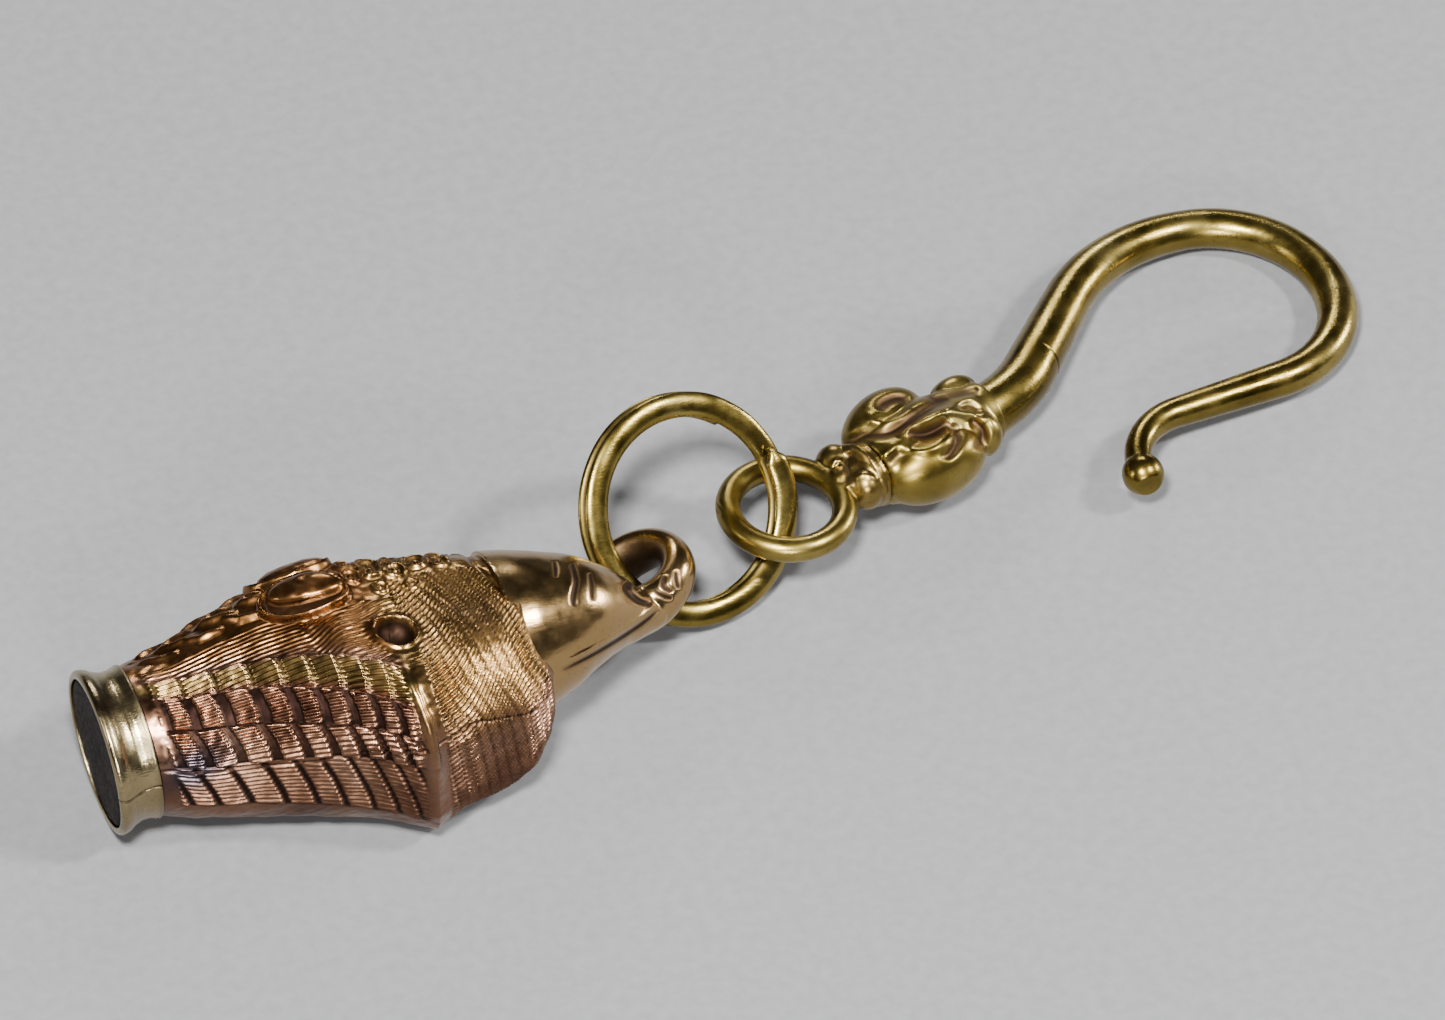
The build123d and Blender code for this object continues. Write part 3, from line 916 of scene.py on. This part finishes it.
def collar():
    """Flared collar with a rolled lip and a thin butt joint."""
    lip, waist, roll = LIP_RADIUS, WAIST_RADIUS, LIP_ROLL
    turns = np.linspace(0, pi / 2, 7)
    edge = [(roll - roll * cos(a), lip - roll + roll * sin(a)) for a in turns]
    outer = [(0.45, lip - 0.03), (0.62, lip - 0.10), (0.85, lip - 0.25), (1.1, waist + 0.09),
             (1.4, waist), (1.75, waist + 0.02), (2.05, waist + 0.10), (2.22, waist + 0.15),
             (2.3, waist + 0.12)]
    bore = [(2.32, waist - 0.3), (2.2, 3.4), (0.9, 3.4), (0.9, 3.86)]
    rows = [(0.05, 3.88), (0.0, 3.95)] + edge + outer + bore
    # Each run between two rows is cut in three
    fine = []
    for a, b in zip(rows, rows[1:]):
        fine += [[p + (q - p) * k / 3 for p, q in zip(a, b)] for k in range(3)]
    fine.append(rows[-1])
    turn, grid = lathe(fine, 360, 0.0016)
    angle = np.degrees(turn) - JOINT_TURN
    depth = np.exp(-(((angle - 1.2 * np.sin(2 * grid[..., 0])) / 0.55) ** 2))
    radius = np.hypot(grid[..., 1], grid[..., 2])
    out = grid[..., 1:] / radius[..., None]
    skin = smooth((radius - 3.7) / 0.1)
    grid[..., 1:] -= out * (0.10 * depth * skin)[..., None]
    mesh = grid_mesh("seal_bezel", seal_axes.out(grid), True)
    # The butt joint is dark, and the end by the body gets painted shade
    paint(mesh, "patina_and_shade", 0.9 * depth * skin + 0.35 * smooth((grid[..., 0] - 1.9) / 0.4))
    return new_object("gold_collar", mesh, pale_gold)


def plate():
    """Stone plate, a little uneven on its face."""
    _, grid = lathe(PLATE_ROWS, 240, 0.0)
    grid = grid[1:-1]
    inside = smooth((3.7 - np.hypot(grid[..., 1], grid[..., 2])) / 0.5)
    grid[..., 0] += 0.012 * ripple(grid, 2.5, 5) * inside
    mesh = grid_mesh("dark_plate", seal_axes.out(grid), True, True)
    return new_object("dark_plate", mesh, dark_stone)


finish_piece(collar(), "seal_bezel")
finish_piece(plate(), "seal_stone")


# Split ring
def split_ring():
    """Two flat coils of round wire with a bevelled tip."""
    axes = Axes(from_foot(SPLIT_MIDDLE), SPLIT_RIGHT, SPLIT_AXIS)
    share = np.linspace(0, 1, 720)
    turn = SPLIT_START + share * SPLIT_TURNS * 2 * pi
    level = (share - 0.5) * (SPLIT_COIL + SPLIT_GAP) * SPLIT_TURNS
    around = circle(40)
    length = share * SPLIT_TURNS * 2 * pi * SPLIT_RADIUS
    tip = smooth((length[-1] - length) / 0.9) * 0.85 + 0.15
    tail = smooth(length / 0.5) * 0.7 + 0.3
    wide = SPLIT_WIRE / 2 * tip * tail
    thick = SPLIT_COIL / 2 * (0.5 + 0.5 * tip) * (0.6 + 0.4 * tail)
    # The wire is round outside, and flatter on the face towards the other coil
    covered = smooth((1 - 1 / SPLIT_TURNS - share) / 0.01)[:, None]
    carried = smooth((share - 1 / SPLIT_TURNS) / 0.01)[:, None]
    side = np.sin(around)
    bulge = 1 - 0.14 * np.where(side > 0, covered, carried)
    radial = SPLIT_RADIUS + wide[:, None] * np.cos(around)
    height = level[:, None] + thick[:, None] * side * bulge
    grid = turned(turn, radial, height)
    grid += 0.010 * ripple(grid, 3.0, 11)[..., None]
    mesh = grid_mesh("split_ring", axes.out(grid), True, True)
    # Painted shade on the face of each coil that the other coil covers
    inner = side * np.where(side > 0, covered, -carried)
    shade = smooth((inner - 0.35) / 0.4) * 0.8
    paint(mesh, "patina_and_shade", np.append(shade.ravel(), [0.3, 0.3]))
    return new_object("split_ring_coils", mesh, olive_gold)


finish_piece(split_ring(), "split_ring")


# Eye ring and its knobs
def blob(u, v, w, long, wide, tall, turn, segments=32):
    """Closed ellipsoid with a middle and three half sizes in the hook's axes."""
    theta = np.linspace(0.02, pi - 0.02, segments // 2)[:, None]
    phi = circle(segments)
    x, y = np.sin(theta) * np.cos(phi), np.sin(theta) * np.sin(phi)
    ball = np.stack([x, y, np.cos(theta) + np.zeros_like(x)], -1) * (long, wide, tall)
    c, s = cos(turn), sin(turn)
    ball = ball @ np.array([[c, s, 0], [-s, c, 0], [0, 0, 1]]) + (u, v, w)
    return grid_mesh("blob", hook_axes.out(ball), True, True)


def horn(rows, sides=24):
    """Closed tapered tube along places in the hook's axes, each with its radius."""
    values = curve_through(rows, 60)
    grid = tube_grid(values[:, :3], values[:, 3], sides)
    return grid_mesh("horn", hook_axes.out(grid), True, True)


KNOB_CORE = [
    # middle in the hook's axes, radius
    (-5.90, 0.4, 0, 0.80),
    (-4.70, 0.2, 0, 1.20),
    (-4.20, 0.0, 0, 1.60),
    (-3.73, 0.0, 0, 1.78),
]
KNOB_BLOBS = [
    # middle in the hook's axes, half sizes, turn
    (-4.85, 1.55, 0.15, 0.95, 1.00, 1.05, 0.3),
    (-4.30, 1.00, 0.25, 0.62, 1.05, 1.10, 0.0),
    (-4.75, -0.75, 0.10, 0.92, 1.00, 1.15, 0.2),
    (-5.35, -0.35, 0.15, 0.60, 0.75, 0.80, 0.0),
    (-4.60, 0.40, 0.20, 0.90, 1.45, 0.95, 0.0),
    (-4.65, 0.50, -0.45, 0.90, 1.50, 0.85, 0.0),
    (-4.18, 0.10, 0.10, 0.46, 1.85, 1.70, 0.0),
]
KNOB_STROKES = [
    # line on the hook's plane, width, height
    ([(-5.3, 1.4), (-4.5, 1.75), (-4.2, 0.9)], 0.15, 0.12),
    ([(-3.6, 1.8), (-4.2, 1.35), (-4.7, 0.6), (-5.3, 0.2)], 0.20, -0.22),
    ([(-4.6, 0.3), (-4.0, 0.2), (-3.7, -0.6)], 0.16, 0.10),
    ([(-5.2, -0.1), (-5.5, -0.7), (-5.6, -1.2)], 0.09, -0.12),
]
FILE_MARKS = [
    ([(-11.4, 3.1), (-11.4, 2.5)], 0.07, -0.10),
    ([(-11.75, 2.9), (-11.75, 2.3)], 0.07, -0.10),
    ([(-12.1, 2.7), (-12.1, 2.0)], 0.07, -0.10),
]
# Direction that the hook's castings are struck from, in the hook's axes, above and below
STRUCK_ABOVE = (-0.49, -0.53, 0.70)
STRUCK_BELOW = (-0.49, -0.53, -0.70)


def eye_ring():
    """Round wire ring soldered to a small cluster of knobs."""
    around = circle(40)
    radial = EYE_RADIUS + EYE_WIRE / 2 * np.cos(around)
    ring = turned(circle(200), radial, EYE_WIRE / 2 * np.sin(around)) + (EYE_ALONG, EYE_ASIDE, 0)
    ring = np.concatenate([ring, ring[:1]])
    parts = [grid_mesh("torus", hook_axes.out(ring), True)]
    parts += [blob(*row) for row in KNOB_BLOBS] + [horn(KNOB_CORE)]
    obj = fused("eye_ring_and_knobs", parts, 0.07, 6, cast_gold)
    cut = carve(obj, hook_axes, KNOB_STROKES + FILE_MARKS, STRUCK_ABOVE)
    cut += carve(obj, hook_axes, KNOB_STROKES, STRUCK_BELOW)
    soften(obj, 2)
    local = hook_axes.into(read_points(obj.data))
    knob = smooth((local[:, 0] + 5.9) / 0.6)
    paint(obj.data, "copper", 0.2 * knob)
    # The cut lines are darkened, as patina and painted shade
    paint(obj.data, "patina_and_shade", np.clip(cut * 5, 0, 0.85))
    return obj


finish_piece(eye_ring(), "eye_ring")


# Calyx of scrolls
CALYX_CORE = [
    # middle in the hook's axes, radius
    (-3.68, 0, 0, 1.70),
    (-3.30, 0, 0, 1.95),
    (-1.80, 0, 0, 2.25),
    (0.00, 0, 0, 2.35),
    (1.90, 0, 0, 2.05),
    (3.00, 0, 0, 1.80),
    (3.80, 0, 0, 1.74),
]
CALYX_BLOBS = [
    # middle in the hook's axes, half sizes, turn
    (-1.30, 1.95, 0.35, 2.60, 1.75, 1.90, 0.15),
    (-0.90, -1.65, 0.15, 2.95, 1.60, 1.95, -0.12),
    (2.85, 1.45, 0.55, 1.45, 0.95, 1.05, 0.00),
    (2.30, -1.50, 0.45, 0.95, 1.10, 1.35, 0.45),
    (1.90, -0.20, 1.35, 1.10, 0.80, 0.65, 0.00),
    (2.30, 0.10, -1.05, 1.40, 1.30, 0.80, 0.00),
]
CALYX_STROKES = [
    # line on the hook's plane, width, height
    # lower scroll: crest, hollow, crescent round it, slit
    ([(-0.9, 1.2), (0.1, 1.55), (1.2, 1.4), (2.2, 1.2), (3.0, 0.4), (3.4, -0.6)], 0.32, 0.30),
    ([(-0.3, 1.2), (0.2, 0.65), (1.0, 0.5), (1.9, 0.6)], 0.36, -0.50),
    ([(-0.9, 1.1), (-1.1, 0.4), (-0.5, -0.3), (0.4, -0.4), (1.4, 0.1)], 0.32, 0.20),
    ([(1.9, 0.3), (1.5, -0.6), (0.8, -1.1), (0.0, -1.4)], 0.24, -0.36),
    ([(-1.3, 1.0), (-2.0, 0.7), (-2.9, 0.5)], 0.24, 0.14),
    ([(-1.4, 0.3), (-2.1, 0.1), (-3.0, -0.2)], 0.26, -0.14),
    # upper scroll: comma hollow and the rim under it
    ([(-0.4, 3.3), (0.2, 3.6), (0.9, 3.5), (1.3, 3.0)], 0.34, -0.44),
    ([(-0.9, 3.5), (-1.2, 2.9), (-0.8, 2.5), (0.2, 2.2), (1.0, 2.35)], 0.28, 0.18),
    # valley between the scrolls
    ([(-3.4, 2.6), (-2.0, 2.2), (-1.1, 1.8), (0.0, 1.8), (1.6, 2.0), (3.0, 1.9)], 0.34, -0.40),
    # leaf and lip beside the shank
    ([(2.3, 1.3), (2.9, 1.3), (3.9, 1.35)], 0.18, 0.16),
    ([(3.9, 1.35), (3.9, 0.5), (3.7, -0.2)], 0.18, 0.16),
    ([(2.9, 1.0), (3.5, 0.9), (3.6, 0.2)], 0.26, -0.20),
    ([(3.0, 0.1), (2.8, -1.0), (1.8, -2.0)], 0.26, -0.40),
    # small lobe above the valley
    ([(2.4, 3.1), (2.5, 2.3), (3.6, 1.85), (4.6, 1.5)], 0.28, -0.30),
]


def calyx():
    """Cast cup of curled scrolls. Its underside is chased with the same lines."""
    parts = [horn(CALYX_CORE, 40)] + [blob(*row, 40) for row in CALYX_BLOBS]
    obj = fused("scroll_calyx_cup", parts, 0.06, 12, cast_gold)
    cut = carve(obj, hook_axes, CALYX_STROKES, STRUCK_ABOVE)
    cut += carve(obj, hook_axes, CALYX_STROKES, STRUCK_BELOW)
    soften(obj, 9)
    # The cut lines are painted coppery and dark, as patina and painted shade
    paint(obj.data, "copper", np.clip(cut * 2.2, 0, 0.6))
    paint(obj.data, "patina_and_shade", np.clip(cut * 2.2, 0, 0.85))
    return obj


finish_piece(calyx(), "scroll_calyx")


# Crook hook
RING_SPACING = 0.12
NICK_ALONG = 6.10           # from the start of the shank
NICK_BREADTH = 0.035
NICK_DEPTH = 0.030          # share of the wire's radius
CAP_DEPTH = 0.18            # flat on the ball end, a share of its radius


def crook_line():
    """Middle line of the wire in the hook's plane, its distance along and its radius.

    Gives the heading of the ball end too.
    """
    place, heading, length = np.array((CALYX_FRONT - SOCKET_DEPTH + FIT, 0.0)), 0.0, 0.0
    points, knots, radii = [place], [length], [SHANK_RADIUS]
    for run, bend, degrees, radius in CROOK_ROWS:
        ahead = np.array((cos(heading), sin(heading)))
        count = int(run / RING_SPACING)
        points += [place + run * k / count * ahead for k in range(1, count + 1)]
        turn = radians(degrees)
        side = 1 if turn > 0 else -1
        hub = points[-1] + bend * np.array((-sin(heading), cos(heading))) * side
        count = max(8, int(abs(turn) * bend / RING_SPACING))
        for now in (heading + turn * k / count for k in range(1, count + 1)):
            points.append(hub - bend * np.array((-sin(now), cos(now))) * side)
        heading += turn
        place = points[-1]
        length += run + bend * abs(turn)
        knots.append(length)
        radii.append(radius)
    points = np.array(points)
    along = np.concatenate([[0], np.cumsum(np.linalg.norm(np.diff(points, axis=0), axis=1))])
    wire = np.interp(along, knots, radii)
    return points, along, wire, heading


def crook():
    """Tapered wire bent to a crook, with a ball at its end."""
    points, along, wire, heading = crook_line()
    total = along[-1]
    # Closer rings by the nick
    close = np.linspace(NICK_ALONG - 0.5, NICK_ALONG + 0.5, 61)
    places = np.unique(np.concatenate([along[(along < close[0]) | (along > close[-1])], close]))
    points = np.stack([np.interp(places, along, points[:, k]) for k in range(2)], -1)
    wire = np.interp(places, along, wire)
    # The wire swells into its ball end
    past = np.linspace(0, 1, 26)[1:]
    ahead = np.array((cos(heading), sin(heading)))
    before = np.clip(total - places, 0, None)
    wire = np.maximum(wire, np.sqrt(np.clip(BALL_RADIUS**2 - before**2, 0, None)))
    tail = points[-1] + (np.minimum(past, 1 - CAP_DEPTH) * BALL_RADIUS)[:, None] * ahead
    wire = np.concatenate([wire, np.sqrt(np.clip(1 - past**2, 0.002, None)) * BALL_RADIUS])
    line = np.pad(np.concatenate([points, tail]), ((0, 0), (0, 1)))
    sides = 64
    grid = tube_grid(line[:len(points)], wire[:len(points)], sides)
    across = np.array((-ahead[1], ahead[0]))
    turn = circle(sides)
    end_rings = np.zeros((len(past), sides, 3))
    end_wire = wire[len(points):, None]
    end_rings[..., :2] = tail[:, None] + (end_wire * np.cos(turn))[..., None] * across
    end_rings[..., 2] = end_wire * np.sin(turn)
    grid = np.concatenate([grid, end_rings])
    grid += (grid - line[:, None]) * (0.006 * ripple(grid, 4.0, 21))[..., None]
    far = np.concatenate([places, total + past])
    # A thin slanted nick across the near side of the wire
    slant = far[:, None] - NICK_ALONG - 0.25 * np.sin(turn)
    near_side = smooth((-np.cos(turn) - 0.1) / 0.4) * smooth((np.sin(turn) + 0.35) / 0.3)
    nick = np.exp(-((slant / NICK_BREADTH) ** 2)) * near_side
    grid -= (grid - line[:, None]) * (NICK_DEPTH * nick)[..., None]
    mesh = grid_mesh("crook", hook_axes.out(grid), True, True)
    # Painted shade where the shank leaves the calyx
    shade = 0.45 * smooth((1.9 - far) / 0.5)[:, None] * np.ones(sides)
    paint(mesh, "patina_and_shade", np.append(shade.ravel(), [0.3, 0]))
    return new_object("crook_wire", mesh, olive_gold)


finish_piece(crook(), "crook_hook")


# Floor, light and camera, in metres
FLOOR_HALF = 3.0
FLOOR_DROP = 0.00002
FLOOR_TONES = [(0.145, 0.145, 0.147), (0.165, 0.165, 0.168)]
LAMPS = [
    # name, place, breadth and height, watts
    ("key", (-0.12, -0.22, 0.42), (0.07, 0.07), 7.5),
    ("fill", (0.26, -0.16, 0.36), (0.05, 0.05), 3.0),
    ("front", (-0.10, -0.40, 0.20), (0.12, 0.03), 1.6),
    ("rim", (0.10, 0.38, 0.24), (0.14, 0.03), 0.7),
    ("left", (-0.40, 0.00, 0.16), (0.03, 0.12), 0.4),
    ("right", (0.36, 0.02, 0.09), (0.06, 0.05), 1.0),
]
SKY = (0.30, 0.30, 0.31, 1)
SKY_STRENGTH = 0.16
# The photograph's direction, and the middle of its picture from the seal's middle
AZIMUTH, ELEVATION = radians(-19.4), radians(47.0)
PICTURE_WIDTH = 0.07225
PICTURE_RIGHT, PICTURE_UP = 0.031375, 0.0122
CAMERA_DISTANCE = 1.3
SENSOR = 36


def floor():
    mesh = bpy.data.meshes.new("floor")
    h = FLOOR_HALF
    mesh.from_pydata([(-h, -h, 0), (h, -h, 0), (h, h, 0), (-h, h, 0)], [], [(0, 1, 2, 3)])
    material, tree, shader, place = new_material("pale_paper")
    grain = noise_value(tree, place, 1500, 2)
    colour = ramp(tree, grain, [(0.3, FLOOR_TONES[0]), (0.7, FLOOR_TONES[1])])
    tree.links.new(colour, shader.inputs["Base Color"])
    shader.inputs["Roughness"].default_value = 0.9
    obj = new_object("floor", mesh, material)
    obj.location.z = -FLOOR_DROP


def studio():
    """Faint even light, and soft lamps that look at the middle of the part."""
    world = bpy.data.worlds.new("studio")
    bpy.context.scene.world = world
    world.use_nodes = True
    background = world.node_tree.nodes["Background"]
    background.inputs["Color"].default_value = SKY
    background.inputs["Strength"].default_value = SKY_STRENGTH
    for name, place, size, watts in LAMPS:
        light = bpy.data.lights.new(name, "AREA")
        light.shape = "RECTANGLE"
        light.size, light.size_y = size
        light.energy = watts
        obj = new_object(name, light)
        obj.location = place
        obj.rotation_euler = (-Vector(place)).to_track_quat("-Z", "Y").to_euler()


def camera():
    """Long lens that looks along the photograph's direction."""
    level = cos(ELEVATION)
    back = Vector((sin(AZIMUTH) * level, -cos(AZIMUTH) * level, sin(ELEVATION)))
    right = Vector((cos(AZIMUTH), sin(AZIMUTH), 0))
    target = Vector(SEAL * MM) + right * PICTURE_RIGHT + back.cross(right) * PICTURE_UP
    data = bpy.data.cameras.new("camera")
    data.sensor_width = SENSOR
    data.lens = SENSOR * CAMERA_DISTANCE / PICTURE_WIDTH
    data.clip_start, data.clip_end = 0.05, 10
    obj = new_object("camera", data)
    obj.location = target + back * CAMERA_DISTANCE
    obj.rotation_mode = "QUATERNION"
    obj.rotation_quaternion = (-back).to_track_quat("-Z", "Y")
    bpy.context.scene.camera = obj


floor()
studio()
camera()

bpy.context.view_layer.update()
